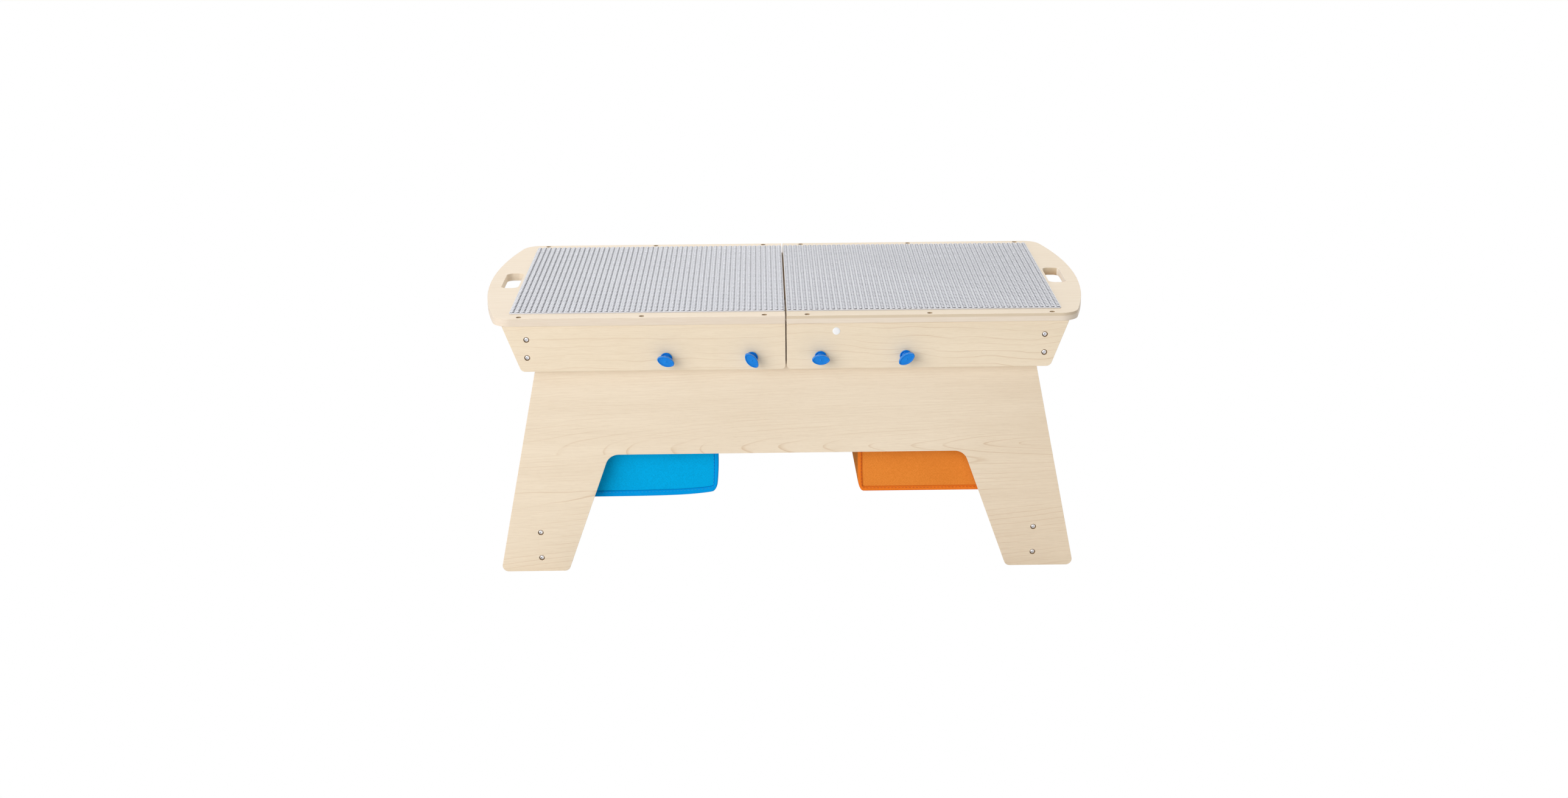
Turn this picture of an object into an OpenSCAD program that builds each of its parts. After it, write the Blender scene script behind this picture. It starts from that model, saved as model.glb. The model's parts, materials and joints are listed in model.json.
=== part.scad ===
// Children's play table with two sliding halves, clamped by wing knobs, over two hanging bins.
// Origin: on the floor under the middle of the seam. +X to the right, +Y to the back, +Z up.
// Each piece is drawn for the right-hand side or the front, and mirrored for the other.

/* [Tabletop] */
// Length of one tabletop half, from its seam edge to its bowed outer end
half_length = 451; // [420:1:500]
// Depth of the tabletop from front to back
top_depth = 450; // [410:1:520]
// Height of the tabletop boards' upper faces above the floor
top_height = 399; // [360:1:460]
// Thickness of a tabletop board
board_thickness = 12; // [9:0.5:18]
// Gap between the two halves when they are closed
seam_gap = 2; // [1:0.5:6]
// Least bare board between the stud plate and the bowed outer end
least_end_margin = 45; // [42:0.5:60]
// Least bare board in front of the stud plate, and behind it
least_side_margin = 22; // [18:0.5:40]
// Radius of the bowed outer end
bow_radius = 790; // [500:10:2000]
// Radius of the two outer corners
corner_radius = 28; // [10:1:45]

/* [Handle slot] */
// Width of the handle slot
handle_width = 26; // [20:1:30]
// Length of the handle slot
handle_length = 90; // [70:1:130]
// Corner radius of the handle slot
handle_radius = 10; // [4:0.5:10]
// Board left between the stud plate and the handle slot
handle_gap = 4.7; // [1:0.1:6]
// Distance of the handle slot's middle in front of the table's middle
handle_shift = 3.5; // [0:0.5:10]

/* [Stud plates] */
// Distance from stud to stud
stud_pitch = 8; // [7.6:0.1:8.4]
// Thickness of the plate's sheet
plate_thickness = 1.8; // [1:0.1:3.2]
// Distance from the seam edge of the board to the plate
plate_inset = 0.4; // [0.2:0.1:3]
// Corner radius of a plate
plate_radius = 3; // [1:0.5:8]
// Diameter of a stud
stud_diameter = 4.8; // [4.6:0.1:5.2]
// Height of a stud above the sheet
stud_height = 1.7; // [1.2:0.1:2]
// Steps from stud to stud in the solid, where 1 makes every stud and 4 makes every fourth one
stud_step = 4; // [1:1:10]

/* [Aprons and end panels] */
// Thickness of an apron
apron_thickness = 12; // [9:0.5:18]
// Height of an apron, from the board's underside down
apron_height = 68.5; // [60:0.5:75]
// Setback of the apron's face from the board's edge
apron_setback = 2; // [0:0.5:8]
// Distance of the apron's upper end from the tabletop's outer end
apron_top_inset = 42; // [30:1:50]
// Distance of the apron's lower end from the tabletop's outer end
apron_bottom_inset = 67.5; // [55:0.5:68]
// Radius of the apron's lower outer corner
apron_outer_radius = 8; // [2:0.5:12]
// Radius of the apron's lower corner at the seam
apron_seam_radius = 6; // [2:0.5:12]
// Thickness of the end panel that ties the two aprons together
end_panel_thickness = 12; // [10:0.5:14]
// Height of the end panel, from the board's underside down
end_panel_height = 61; // [50:0.5:66]
// Distance of the end panel's middle from the tabletop's outer end
end_panel_inset = 76.7; // [75.5:0.1:78]

/* [Leg panels] */
// Thickness of a leg panel
leg_thickness = 15; // [12:0.5:18]
// Distance of the foot's outer corner from the tabletop's outer end
foot_inset = 20.4; // [10:0.2:30]
// Distance of the leg panel's upper corner from the tabletop's outer end
leg_top_inset = 100; // [94:1:104]
// Width of a foot at the floor
foot_width = 102; // [96:1:120]
// Height of the crossbar between the legs
crossbar_height = 202; // [150:1:220]
// Distance of the crossbar's lower corner from the tabletop's outer end
crossbar_inset = 189; // [175:1:220]
// Radius of the feet's corners
foot_radius = 9; // [3:0.5:15]
// Radius between the crossbar and a leg
crossbar_radius = 20; // [8:1:40]
// Running gap between an apron and the leg panel
apron_clearance = 0.5; // [0.3:0.1:0.9]
// Running gap between the leg panel's top and the board
board_clearance = 0.3; // [0.2:0.1:0.8]

/* [Cross rails and stretchers] */
// Thickness of an upper cross rail
rail_thickness = 15; // [12:0.5:18]
// Height of an upper cross rail
rail_height = 40; // [34:1:41]
// Distance of a cross rail's middle from the tabletop's outer end
rail_inset = 122; // [118:1:150]
// Thickness of a lower stretcher
stretcher_thickness = 12; // [9:0.5:18]
// Height of a lower stretcher
stretcher_height = 64; // [54:1:80]
// Height of the stretcher's lower edge above the floor
stretcher_lift = 10; // [6:1:25]
// Distance of the stretcher's middle from the tabletop's outer end
stretcher_inset = 82.3; // [78:0.1:90]

/* [Clamps] */
// Distance of the inner wing knob from the middle of the table
inner_knob_offset = 50; // [40:1:70]
// Distance from the inner wing knob to the outer one
knob_spacing = 124; // [100:1:130]
// Distance of the knobs' axis below the board's underside
knob_drop = 50.5; // [49:0.5:54]
// Diameter of the clamp bolts
bolt_diameter = 6; // [5:0.5:8]
// Gap round a clamp bolt in its slot
slot_clearance = 1; // [0.5:0.1:1.5]
// Wood left between the slot's outer end and the leg panel's edge
slot_end_wall = 24; // [18:1:40]
// Length of the washer plate behind the leg panel
washer_length = 40; // [24:1:48]
// Height of the washer plate
washer_height = 15; // [14:0.5:16]
// Thickness of the washer plate
washer_thickness = 2; // [1.5:0.1:3]
// Diameter of the bolt's domed head
bolt_head_diameter = 13; // [11:0.5:15]
// Height of the bolt's domed head
bolt_head_height = 3.5; // [2.5:0.1:5]

/* [Wing knobs] */
// Diameter of the knob's base disc
knob_disc_diameter = 18; // [15:0.5:24]
// Thickness of the base disc
knob_disc_thickness = 4; // [3:0.5:6]
// Diameter of the neck between the base disc and the grip
knob_neck_diameter = 11; // [10:0.5:13]
// Length of the neck between the base disc and the grip
knob_neck_length = 4.5; // [2:0.5:6]
// Depth of the whole knob in front of the apron
knob_depth = 19; // [17:0.5:24]
// Length of the wing grip from point to point
grip_length = 28; // [24:0.5:36]
// Width of the wing grip
grip_width = 14; // [12:0.5:18]
// Width of the rim round the grip's sunken face
grip_rim = 1.3; // [0.8:0.1:2]
// Depth of the grip's sunken face
grip_recess = 1; // [0.4:0.1:2]
// Depth of the knob's blind threaded bore
knob_bore_depth = 12; // [9:0.5:14]
// Running gap between a clamp bolt and the knob's bore
thread_clearance = 0.05; // [0.02:0.01:0.1]
// Gap between a knob and the apron
knob_gap = 0.3; // [0.1:0.1:0.5]

/* [Screws] */
// Diameter of the socket screws' heads
socket_head_diameter = 7; // [6:0.1:8.5]
// Height of the socket screws' heads
socket_head_height = 4; // [3:0.5:5]
// Gap round a socket screw's head in its well
socket_well_gap = 0.7; // [0.3:0.1:0.9]
// Depth of a socket screw's head below the face
socket_screw_sink = 0.5; // [0.2:0.1:1]
// Diameter of the socket screws' shanks
socket_shank_diameter = 4.5; // [3.5:0.1:5]
// Length of the socket screws
socket_screw_length = 50; // [35:1:60]
// Distance between the two foot screws of a stretcher
foot_screw_spacing = 40.6; // [30:0.2:44]
// Distance between the two screws at the end of an end panel
end_screw_spacing = 27.2; // [22:0.2:34]
// Distance of an end panel's upper screw from the board's underside
end_screw_drop = 20.3; // [14:0.1:22]
// Distance between the two screws at the end of a cross rail
rail_screw_spacing = 20; // [14:1:24]
// Diameter of the tabletop screws' heads
top_screw_head = 7.6; // [6:0.1:9]
// Height of the tabletop screws' heads
top_screw_head_height = 3; // [2:0.5:4]
// Diameter of the tabletop screws' shanks
top_screw_shank = 4; // [3:0.1:5]
// Length of the tabletop screws
top_screw_length = 36; // [25:1:45]
// Depth of a tabletop screw's head below the board's face
top_screw_sink = 2.5; // [1:0.5:4]
// Distance of the first tabletop screw from the seam edge
top_screw_inset = 30; // [20:1:36]
// Distance of the last tabletop screw from the tabletop's outer end
top_screw_end_inset = 66.4; // [58:0.2:90]
// Head diameter of the bin runners' screws
runner_screw_head = 6; // [5:0.5:6.5]
// Shank diameter of the bin runners' screws
runner_screw_shank = 3; // [2.5:0.1:3.5]
// Length of the bin runners' screws
runner_screw_length = 13; // [9:0.5:13]
// Gap round each screw in its hole
screw_clearance = 0.1; // [0.05:0.05:0.2]

/* [Bins] */
// Length of a bin
bin_length = 245; // [200:1:250]
// Height of a bin's bag
bag_height = 192; // [150:1:210]
// Thickness of a bag's cloth walls
bag_wall = 3; // [2:0.5:4]
// Distance of the left bin's outer side from the tabletop's outer end
left_bin_inset = 105.5; // [96:0.1:120]
// Distance of the right bin's outer side from the tabletop's outer end
right_bin_inset = 100.3; // [96:0.1:120]
// Width of the bars of a bin's frame
frame_bar_width = 16; // [12:0.5:20]
// Thickness of the bars of a bin's frame
frame_bar_thickness = 6.4; // [5:0.1:8]
// Distance of the runners' upper edge below the board's underside
runner_drop = 75; // [70:1:85]
// Depth of a bin runner from the leg panel inward
runner_depth = 9; // [8:0.5:12]
// Wall thickness of a bin runner
runner_wall = 1.5; // [1.2:0.1:2]
// Distance of a runner's inner end from the middle of the table
runner_start = 3; // [2:1:10]
// Distance of a runner's outer end from the tabletop's outer end
runner_inset = 92; // [88:1:100]
// Running gap between a bin's frame and its runners
frame_clearance = 0.3; // [0.2:0.1:0.6]
// Gap between a bag and the runners' lips
bag_clearance = 1; // [0.5:0.5:4]

/* [Sticker] */
// Diameter of the blank round sticker on the right front apron
sticker_diameter = 11; // [8:0.5:16]
// Thickness of the sticker
sticker_thickness = 0.3; // [0.2:0.1:0.5]
// Distance of the sticker's middle from the middle of the table
sticker_offset = 72.9; // [60:0.1:100]
// Distance of the sticker's middle below the board's underside
sticker_drop = 12; // [9:0.5:20]

/* [Hidden] */
// A plate has as many whole studs as fit on its board, along it and across it.
stud_count_along = floor((half_length - plate_inset - least_end_margin) / stud_pitch);
stud_count_across = floor((top_depth - 2 * least_side_margin) / stud_pitch);

$fn = 64;
slip = 1;
left = -1;
right = 1;
front = -1;
back = 1;

maple_top = [0.97, 0.92, 0.84];
maple_face = [0.92, 0.86, 0.75];
plate_grey = [0.62, 0.66, 0.72];
knob_blue = [0, 0.42, 0.86];
bin_blue = [0, 0.6, 0.87];
bin_orange = [0.89, 0.5, 0.2];
steel = [0.75, 0.76, 0.78];
dark_steel = [0.3, 0.3, 0.32];
aluminium = [0.8, 0.81, 0.83];
paper_white = [0.96, 0.96, 0.96];

// Places along X of the right half, from the seam to the bowed end.
board_inner = seam_gap / 2;
top_end = board_inner + half_length;
plate_start = board_inner + plate_inset;
plate_length = stud_count_along * stud_pitch;
plate_end = plate_start + plate_length;
handle_start = plate_end + handle_gap;
foot_outer = top_end - foot_inset;
foot_inner = foot_outer - foot_width;
leg_top = top_end - leg_top_inset;
crossbar_corner = top_end - crossbar_inset;
end_panel_x = top_end - end_panel_inset;
rail_x = top_end - rail_inset;
stretcher_x = top_end - stretcher_inset;
runner_end = top_end - runner_inset;
left_bin_inner = top_end - left_bin_inset - bin_length;
right_bin_inner = top_end - right_bin_inset - bin_length;
outer_knob_offset = inner_knob_offset + knob_spacing;
top_screw_first = board_inner + top_screw_inset;
top_screw_last = top_end - top_screw_end_inset;
top_screw_x = [top_screw_first, (top_screw_first + top_screw_last) / 2, top_screw_last];

// Places along Y, from the front edge inward to the middle.
plate_width = stud_count_across * stud_pitch;
board_edge = top_depth / 2;
apron_face = board_edge - apron_setback;
apron_back = apron_face - apron_thickness;
leg_face = apron_back - apron_clearance;
leg_back = leg_face - leg_thickness;
frame_edge = leg_back - runner_wall - frame_clearance;
bag_edge = leg_back - runner_depth - bag_clearance;

// Places along Z.
board_bottom = top_height - board_thickness;
leg_height = board_bottom - board_clearance;
crossbar_bottom = leg_height - crossbar_height;
apron_bottom = board_bottom - apron_height;
knob_z = board_bottom - knob_drop;
end_screw_z = [board_bottom - end_screw_drop, board_bottom - end_screw_drop - end_screw_spacing];
runner_groove = frame_bar_thickness + 2 * frame_clearance;
runner_top = board_bottom - runner_drop;
runner_bottom = runner_top - runner_groove - 2 * runner_wall;
frame_bottom = runner_bottom + runner_wall + frame_clearance;
rail_middle = leg_height - rail_height / 2;
rail_screw_z = [for (s = [-1, 1]) rail_middle + s * rail_screw_spacing / 2];
stretcher_middle = stretcher_lift + stretcher_height / 2;
foot_screw_z = [for (s = [-1, 1]) stretcher_middle + s * foot_screw_spacing / 2];

// The clamp bolts' slots in a leg panel, as wide as the bolts' travel needs.
slot_radius = bolt_diameter / 2 + slot_clearance;
leg_edge_at_knobs = foot_outer + (leg_top - foot_outer) * knob_z / leg_height;
slot_start = inner_knob_offset;
slot_end = leg_edge_at_knobs - slot_end_wall - slot_radius;
slide_travel = slot_end - outer_knob_offset;
echo(slide_travel = slide_travel);

// Turn of each knob's grip from level, counter-clockwise as seen from outside the table.
left_front_turns = [-20, -48];
right_front_turns = [0, 32];
left_back_turns = [15, -35];
right_back_turns = [50, -10];

function unit(v) = v / norm(v);
function half_angle(p, a, b) = acos(unit(a - p) * unit(b - p)) / 2;
function tangent_point(p, a, b, r) = p + unit(a - p) * r / tan(half_angle(p, a, b));
function arc_centre(p, a, b, r) = p + unit(unit(a - p) + unit(b - p)) * r / sin(half_angle(p, a, b));

// Mirrors a piece drawn for the right-hand side.
module on_side(side) {
    mirror([side == left ? 1 : 0, 0, 0]) children();
}

// Mirrors a piece drawn for the front.
module on_face(face) {
    mirror([0, face == back ? 1 : 0, 0]) children();
}

// Both mirrored copies of a piece, front and back.
module front_and_back() {
    for (face = [front, back]) on_face(face) children();
}

// Turns a shape's own up direction towards the front and puts its foot at a place on the face.
module facing_front(x, y, z) {
    translate([x, -y, z]) rotate([90, 0, 0]) children();
}

// An upright plate whose outline is drawn in X and Z, between two distances in front of the middle.
module upright(inner, outer) {
    translate([0, -inner, 0]) rotate([90, 0, 0]) linear_extrude(outer - inner) children();
}

// The sliver between a sharp corner p, whose neighbours are a and b, and its arc of radius r.
module corner_sliver(p, a, b, r) {
    tip = p - slip * unit(unit(a - p) + unit(b - p));
    difference() {
        polygon([tip, tangent_point(p, a, b, r), tangent_point(p, b, a, r)]);
        translate(arc_centre(p, a, b, r)) circle(r);
    }
}

module rounded_rectangle(size, r) {
    square([size.x - 2 * r, size.y], center = true);
    square([size.x, size.y - 2 * r], center = true);
    for (x = [-1, 1], y = [-1, 1]) translate([x * (size.x / 2 - r), y * (size.y / 2 - r)]) circle(r);
}

// A screw that points down, with its head's face at the origin. Grown, it is the hole for it.
module screw(head, head_height, shank, length, grow = 0) {
    translate([0, 0, -head_height - grow]) cylinder(d = head + 2 * grow, h = head_height + grow);
    translate([0, 0, -length - grow]) cylinder(d = shank + 2 * grow, h = length + grow);
}

// Opens the hole above a sunk head, up to and past the face that it was driven through.
module screw_well(head, depth) {
    translate([0, 0, -slip / 2]) cylinder(d = head + 2 * screw_clearance, h = depth + slip);
}

module hex_socket(across_corners, depth) {
    translate([0, 0, -depth]) cylinder(d = across_corners, h = depth + slip, $fn = 6);
}

module socket_screw() {
    color(steel) translate([0, 0, -socket_screw_sink]) difference() {
        screw(socket_head_diameter, socket_head_height, socket_shank_diameter, socket_screw_length);
        hex_socket(socket_head_diameter * 0.55, socket_head_height / 2);
    }
}

module socket_screw_hole() {
    well_depth = socket_screw_sink + socket_head_height + screw_clearance;
    shank_depth = socket_screw_sink + socket_screw_length + screw_clearance;
    translate([0, 0, -well_depth])
        cylinder(d = socket_head_diameter + 2 * socket_well_gap, h = well_depth + slip / 2);
    translate([0, 0, -shank_depth])
        cylinder(d = socket_shank_diameter + 2 * screw_clearance, h = shank_depth);
}

// Where the socket screws sit on the right front: at the foot, at a cross rail and at the end panel.
module at_foot_screws() {
    for (z = foot_screw_z) facing_front(stretcher_x, leg_face, z) children();
}

module at_rail_screws() {
    for (z = rail_screw_z) facing_front(rail_x, leg_face, z) children();
}

module at_end_screws() {
    for (z = end_screw_z) facing_front(end_panel_x, apron_face, z) children();
}

module at_top_screws() {
    screw_y = (apron_face + apron_back) / 2;
    for (x = top_screw_x) translate([x, -screw_y, top_height - top_screw_sink]) children();
}

module at_runner_screws() {
    ends = [runner_start, runner_end];
    middle_z = (runner_top + runner_bottom) / 2;
    for (t = [0.12, 0.5, 0.88]) {
        translate([ends[0] + t * (ends[1] - ends[0]), -leg_back + runner_wall, middle_z])
            rotate([-90, 0, 0]) children();
    }
}

// ---- the base ----

module leg_outline() {
    foot_out = [foot_outer, 0];
    foot_in = [foot_inner, 0];
    shoulder = [leg_top, leg_height];
    window = [crossbar_corner, crossbar_bottom];
    window_middle = [0, crossbar_bottom];
    difference() {
        polygon([foot_out, shoulder, [0, leg_height], window_middle, window, foot_in]);
        corner_sliver(foot_out, shoulder, foot_in, foot_radius);
        corner_sliver(foot_in, foot_out, window, foot_radius);
    }
    corner_sliver(window, window_middle, foot_in, crossbar_radius);
}

module clamp_slot() {
    translate([slot_start, knob_z - slot_radius]) square([slot_end - slot_start, 2 * slot_radius]);
    for (x = [slot_start, slot_end]) translate([x, knob_z]) circle(slot_radius);
}

module leg_panel() {
    color(maple_face) difference() {
        upright(leg_back, leg_face) {
            difference() {
                union() {
                    leg_outline();
                    mirror([1, 0]) leg_outline();
                }
                clamp_slot();
                mirror([1, 0]) clamp_slot();
            }
        }
        for (side = [left, right]) on_side(side) {
            at_foot_screws() socket_screw_hole();
            at_rail_screws() socket_screw_hole();
            at_runner_screws() runner_screw_hole();
        }
    }
}

module front_leg_panel() { leg_panel(); }
module back_leg_panel() { on_face(back) leg_panel(); }

module cross_rail() {
    color(maple_face) difference() {
        translate([rail_x - rail_thickness / 2, -leg_back, leg_height - rail_height])
            cube([rail_thickness, 2 * leg_back, rail_height]);
        front_and_back() at_rail_screws() socket_screw_hole();
    }
}

module left_cross_rail() { on_side(left) cross_rail(); }
module right_cross_rail() { cross_rail(); }

module stretcher() {
    color(maple_face) difference() {
        translate([stretcher_x - stretcher_thickness / 2, -leg_back, stretcher_lift])
            cube([stretcher_thickness, 2 * leg_back, stretcher_height]);
        front_and_back() at_foot_screws() socket_screw_hole();
    }
}

module left_stretcher() { on_side(left) stretcher(); }
module right_stretcher() { stretcher(); }

module runner_screw() {
    color(steel) difference() {
        union() {
            translate([0, 0, -runner_wall])
                cylinder(d1 = runner_screw_shank, d2 = runner_screw_head, h = runner_wall);
            translate([0, 0, -runner_screw_length])
                cylinder(d = runner_screw_shank, h = runner_screw_length - runner_wall / 2);
        }
        hex_socket(runner_screw_shank * 0.7, runner_wall / 2);
    }
}

module runner_screw_hole() {
    translate([0, 0, -runner_wall]) cylinder(
        d1 = runner_screw_shank + 2 * screw_clearance,
        d2 = runner_screw_head + 2 * screw_clearance, h = runner_wall
    );
    translate([0, 0, -runner_screw_length - screw_clearance])
        cylinder(d = runner_screw_shank + 2 * screw_clearance, h = runner_screw_length + slip);
    screw_well(runner_screw_head, 0);
}

// A channel on the leg panel's inner face, open towards the bin.
module runner() {
    color(aluminium) difference() {
        translate([runner_start, -leg_back, runner_bottom])
            cube([runner_end - runner_start, runner_depth, runner_top - runner_bottom]);
        translate([runner_start - slip, -leg_back + runner_wall, runner_bottom + runner_wall])
            cube([runner_end - runner_start + 2 * slip, runner_depth, runner_groove]);
        at_runner_screws() runner_screw_hole();
    }
}

module left_front_runner() { on_side(left) runner(); }
module left_back_runner() { on_side(left) on_face(back) runner(); }
module right_front_runner() { runner(); }
module right_back_runner() { on_face(back) runner(); }

module foot_screws() {
    front_and_back() for (side = [left, right]) on_side(side) at_foot_screws() socket_screw();
}

module rail_screws() {
    front_and_back() for (side = [left, right]) on_side(side) at_rail_screws() socket_screw();
}

module runner_screws() {
    front_and_back() for (side = [left, right]) on_side(side) at_runner_screws() runner_screw();
}

// ---- the sliding halves ----

module board_outline() {
    bow_centre = top_end - bow_radius;
    corner_y = board_edge - corner_radius;
    corner_x = bow_centre + sqrt(pow(bow_radius - corner_radius, 2) - pow(corner_y, 2));
    bow_tangent = [corner_x - bow_centre, corner_y] * bow_radius / (bow_radius - corner_radius);
    past_end = top_end + slip;
    difference() {
        intersection() {
            translate([board_inner, -board_edge]) square([top_end - board_inner, 2 * board_edge]);
            translate([bow_centre, 0]) circle(bow_radius, $fn = 360);
        }
        for (side = [-1, 1]) scale([1, side]) polygon([
            [corner_x, corner_y],
            [corner_x, board_edge + slip],
            [past_end, board_edge + slip],
            [past_end, bow_tangent.y + slip],
            [bow_tangent.x + bow_centre, bow_tangent.y]
        ]);
    }
    for (side = [-1, 1]) translate([corner_x, side * corner_y]) circle(corner_radius);
}

module handle_outline() {
    translate([handle_start + handle_width / 2, -handle_shift])
        rounded_rectangle([handle_width, handle_length], handle_radius);
}

module board() {
    color(maple_top) difference() {
        translate([0, 0, board_bottom]) linear_extrude(board_thickness) difference() {
            board_outline();
            handle_outline();
        }
        front_and_back() at_top_screws() top_screw_hole();
    }
}

module left_board() { on_side(left) board(); }
module right_board() { board(); }

// The studded sheet, with one stud for each step along it and across it.
module stud_plate() {
    first = stud_pitch / 2;
    pitch = stud_pitch * stud_step;
    color(plate_grey) union() {
        translate([plate_start + plate_length / 2, 0, top_height])
            linear_extrude(plate_thickness) rounded_rectangle([plate_length, plate_width], plate_radius);
        for (x = [first:pitch:plate_length - first], y = [first:pitch:plate_width - first])
            translate([plate_start + x, y - plate_width / 2, top_height + plate_thickness / 2])
                cylinder(d = stud_diameter, h = plate_thickness / 2 + stud_height);
    }
}

module left_stud_plate() { on_side(left) stud_plate(); }
module right_stud_plate() { stud_plate(); }

module apron_outline() {
    top_out = [top_end - apron_top_inset, board_bottom];
    bottom_out = [top_end - apron_bottom_inset, apron_bottom];
    bottom_in = [board_inner, apron_bottom];
    top_in = [board_inner, board_bottom];
    difference() {
        polygon([top_out, top_in, bottom_in, bottom_out]);
        corner_sliver(bottom_out, top_out, bottom_in, apron_outer_radius);
        corner_sliver(bottom_in, top_in, bottom_out, apron_seam_radius);
        for (x = [inner_knob_offset, outer_knob_offset]) translate([x, knob_z])
            circle(d = bolt_diameter + 2 * screw_clearance);
    }
}

module apron() {
    color(maple_face) difference() {
        upright(apron_back, apron_face) apron_outline();
        at_end_screws() socket_screw_hole();
        at_top_screws() top_screw_hole();
    }
}

module left_front_apron() { on_side(left) apron(); }
module left_back_apron() { on_side(left) on_face(back) apron(); }
module right_front_apron() { apron(); }
module right_back_apron() { on_face(back) apron(); }

module end_panel() {
    color(maple_face) difference() {
        translate([end_panel_x - end_panel_thickness / 2, -apron_back, board_bottom - end_panel_height])
            cube([end_panel_thickness, 2 * apron_back, end_panel_height]);
        front_and_back() at_end_screws() socket_screw_hole();
    }
}

module left_end_panel() { on_side(left) end_panel(); }
module right_end_panel() { end_panel(); }

module top_screw() {
    color(dark_steel) difference() {
        screw(top_screw_head, top_screw_head_height, top_screw_shank, top_screw_length);
        hex_socket(top_screw_head * 0.5, top_screw_head_height / 2);
    }
}

module top_screw_hole() {
    screw(
        top_screw_head, top_screw_head_height, top_screw_shank, top_screw_length, screw_clearance
    );
    screw_well(top_screw_head, top_screw_sink);
}

module left_top_screws() { on_side(left) right_top_screws(); }
module right_top_screws() { front_and_back() at_top_screws() top_screw(); }

module left_apron_screws() { on_side(left) right_apron_screws(); }
module right_apron_screws() { front_and_back() at_end_screws() socket_screw(); }

module at_knobs() {
    for (x = [inner_knob_offset, outer_knob_offset]) translate([x, 0, 0]) children();
}

// The washer plate lies behind the leg panel, one running gap away from it.
washer_back = leg_back - frame_clearance;
washer_front = washer_back - washer_thickness;

module washer_plates() {
    color(steel) front_and_back() at_knobs() difference() {
        translate([-washer_length / 2, -washer_back, knob_z - washer_height / 2])
            cube([washer_length, washer_thickness, washer_height]);
        facing_front(0, washer_front - slip, knob_z) cylinder(
            d = bolt_diameter + 2 * screw_clearance, h = washer_thickness + 2 * slip
        );
    }
}

module left_washer_plates() { on_side(left) washer_plates(); }
module right_washer_plates() { washer_plates(); }

// A domed bolt from inside the leg panel, through the slot and the apron, into the wing knob.
module clamp_bolts() {
    tip = apron_face + knob_gap + knob_bore_depth - slip / 2;
    dome_radius = (pow(bolt_head_diameter / 2, 2) + pow(bolt_head_height, 2)) / (2 * bolt_head_height);
    color(steel) front_and_back() at_knobs() facing_front(0, washer_front, knob_z) {
        cylinder(d = bolt_diameter, h = tip - washer_front);
        intersection() {
            translate([0, 0, dome_radius - bolt_head_height]) sphere(dome_radius);
            translate([0, 0, -bolt_head_height]) cylinder(d = bolt_head_diameter, h = bolt_head_height);
        }
    }
}

module left_clamp_bolts() { on_side(left) clamp_bolts(); }
module right_clamp_bolts() { clamp_bolts(); }

module sticker() {
    color(paper_white) facing_front(sticker_offset, apron_face, board_bottom - sticker_drop)
        cylinder(d = sticker_diameter, h = sticker_thickness);
}

// ---- the wing knobs ----

// A lens with pointed ends, the overlap of two discs.
module lens(length, width) {
    arc_radius = (pow(length, 2) + pow(width, 2)) / (4 * width);
    intersection_for(side = [-1, 1]) translate([0, side * (arc_radius - width / 2)])
        circle(arc_radius, $fn = 180);
}

module wing_knob(x, turn) {
    bore = bolt_diameter + 2 * thread_clearance;
    grip_start = knob_disc_thickness + knob_neck_length;
    sunken_length = grip_length * (1 - 2 * grip_rim / grip_width);
    color(knob_blue) facing_front(x, apron_face + knob_gap, knob_z) rotate(turn) difference() {
        union() {
            cylinder(d = knob_disc_diameter, h = knob_disc_thickness);
            cylinder(d = knob_neck_diameter, h = grip_start + slip);
            translate([0, 0, grip_start]) linear_extrude(knob_depth - knob_gap - grip_start)
                lens(grip_length, grip_width);
        }
        difference() {
            translate([0, 0, knob_depth - knob_gap - grip_recess]) linear_extrude(grip_recess + slip)
                lens(sunken_length, grip_width - 2 * grip_rim);
            cylinder(d = bolt_diameter * 0.7, h = knob_depth - knob_gap - grip_recess / 3);
        }
        translate([0, 0, -slip]) cylinder(d = bore, h = knob_bore_depth + slip);
    }
}

module left_front_outer_knob() { wing_knob(-outer_knob_offset, left_front_turns[0]); }
module left_front_inner_knob() { wing_knob(-inner_knob_offset, left_front_turns[1]); }
module right_front_inner_knob() { wing_knob(inner_knob_offset, right_front_turns[0]); }
module right_front_outer_knob() { wing_knob(outer_knob_offset, right_front_turns[1]); }
module left_back_outer_knob() { on_face(back) wing_knob(-outer_knob_offset, left_back_turns[0]); }
module left_back_inner_knob() { on_face(back) wing_knob(-inner_knob_offset, left_back_turns[1]); }
module right_back_inner_knob() { on_face(back) wing_knob(inner_knob_offset, right_back_turns[0]); }
module right_back_outer_knob() { on_face(back) wing_knob(outer_knob_offset, right_back_turns[1]); }

// ---- the bins ----

module bin_bag(inner) {
    difference() {
        translate([inner, -bag_edge, frame_bottom - bag_height])
            cube([bin_length, 2 * bag_edge, bag_height]);
        translate([inner + bag_wall, -bag_edge + bag_wall, frame_bottom - bag_height + bag_wall])
            cube([bin_length - 2 * bag_wall, 2 * (bag_edge - bag_wall), bag_height]);
    }
}

// A flat ring that carries the bag's rim and slides in the runners' grooves.
module bin_frame(inner) {
    color(dark_steel) translate([inner + bin_length / 2, 0, frame_bottom])
        linear_extrude(frame_bar_thickness) difference() {
            square([bin_length, 2 * frame_edge], center = true);
            square([bin_length - 2 * frame_bar_width, 2 * (frame_edge - frame_bar_width)], center = true);
        }
}

module left_bin_bag() { color(bin_blue) on_side(left) bin_bag(left_bin_inner); }
module left_bin_frame() { on_side(left) bin_frame(left_bin_inner); }
module right_bin_bag() { color(bin_orange) bin_bag(right_bin_inner); }
module right_bin_frame() { bin_frame(right_bin_inner); }

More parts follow.
